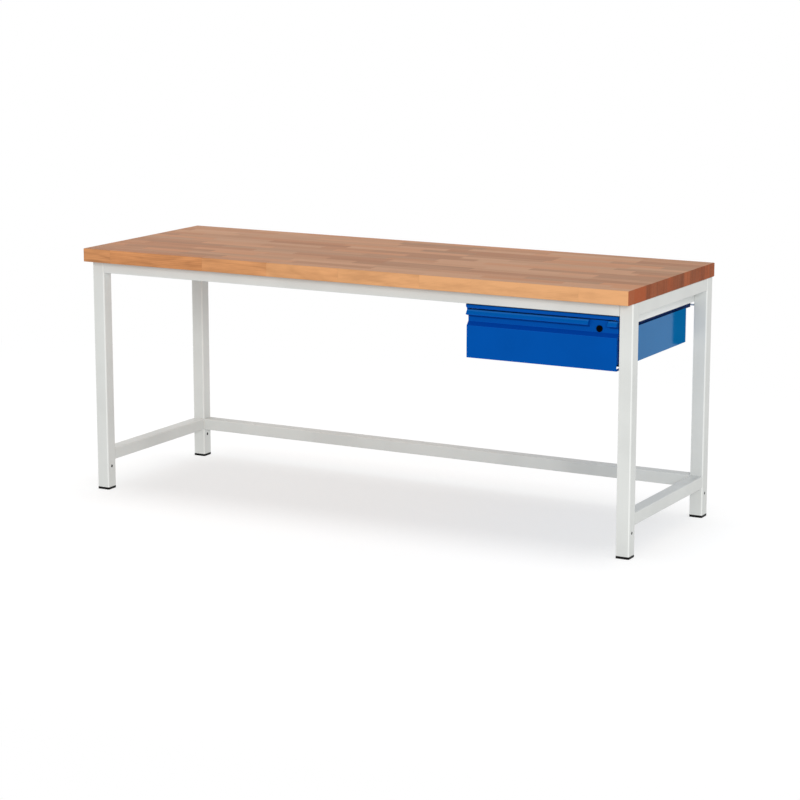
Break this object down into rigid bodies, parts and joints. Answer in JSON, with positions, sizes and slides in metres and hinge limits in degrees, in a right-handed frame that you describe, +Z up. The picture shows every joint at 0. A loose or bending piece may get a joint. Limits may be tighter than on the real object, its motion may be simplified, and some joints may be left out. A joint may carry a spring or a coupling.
{
  "type": "workbench",
  "caption": "Steel-frame workbench with a thick beech top, square-tube legs and rails, and a lockable drawer under its right end.",
  "frame": {"origin": "on the floor under the middle of the worktop", "axes": "+X along the bench towards the drawer, +Y to the back, +Z up"},
  "size_m": [2, 0.7, 0.84],
  "materials": {
    "beech": "oiled solid beech of glued staves",
    "frame_grey": "light grey powder coat, satin",
    "foot_black": "black moulded plastic",
    "zinc_steel": "zinc plated sheet steel",
    "housing_blue": "blue powder coat, smooth satin",
    "runner_navy": "dark blue powder coat",
    "front_blue": "blue powder coat, smooth satin",
    "body_blue": "blue powder coat, smooth satin",
    "lock_black": "black lacquered lock"
  },
  "bodies": {
    "bench": {"worktop": "beech", "leg_front_left": "frame_grey", "foot_front_left": "foot_black", "leg_front_right": "frame_grey", "foot_front_right": "foot_black", "leg_back_left": "frame_grey", "foot_back_left": "foot_black", "leg_back_right": "frame_grey", "foot_back_right": "foot_black", "top_rail_front": "frame_grey", "top_rail_back": "frame_grey", "top_rail_left": "frame_grey", "top_rail_right": "frame_grey", "lower_rail_back": "frame_grey", "lower_rail_left": "frame_grey", "lower_rail_right": "frame_grey", "carrier_left": "frame_grey", "carrier_right": "frame_grey", "worktop_lugs": "frame_grey", "worktop_screws": "zinc_steel", "carrier_screws": "zinc_steel", "slide_left_fixed": "zinc_steel", "slide_right_fixed": "zinc_steel", "housing_front_strip": "housing_blue", "housing_rear_tie": "housing_blue", "housing_plate_left": "runner_navy", "housing_plate_right": "runner_navy"},
    "drawer": {"drawer_front": "front_blue", "drawer_tub": "body_blue", "drawer_side_left": "body_blue", "drawer_side_right": "body_blue", "drawer_inner_front": "body_blue", "drawer_back": "body_blue", "lock_plate": "front_blue", "slide_left_drawer": "zinc_steel", "slide_right_drawer": "zinc_steel", "lock_barrel": "lock_black", "lock_nut": "zinc_steel"},
    "slide_left": {"slide_left_middle": "zinc_steel"},
    "slide_right": {"slide_right_middle": "zinc_steel"},
    "lock_core": {"lock_plug": "lock_black", "lock_cam": "zinc_steel", "lock_cam_screw": "zinc_steel"}
  },
  "joints": [
    {"name": "drawer_slide", "type": "slide", "parent": "bench", "child": "drawer", "axis": [0, -1, 0], "range_m": [0, 0.5]},
    {"name": "slide_left_run", "type": "slide", "parent": "bench", "child": "slide_left", "axis": [0, -1, 0], "range_m": [0, 0.25]},
    {"name": "slide_right_run", "type": "slide", "parent": "bench", "child": "slide_right", "axis": [0, -1, 0], "range_m": [0, 0.25]},
    {"name": "lock_turn", "type": "hinge", "parent": "drawer", "child": "lock_core", "pos_m": [0.885, -0.29, 0.7108], "axis": [0, 1, 0], "range_deg": [0, 90]}
  ],
  "couplings": [
    {"joint": "slide_left_run", "follows": "drawer_slide", "ratio": 0.5},
    {"joint": "slide_right_run", "follows": "drawer_slide", "ratio": 0.5}
  ]
}
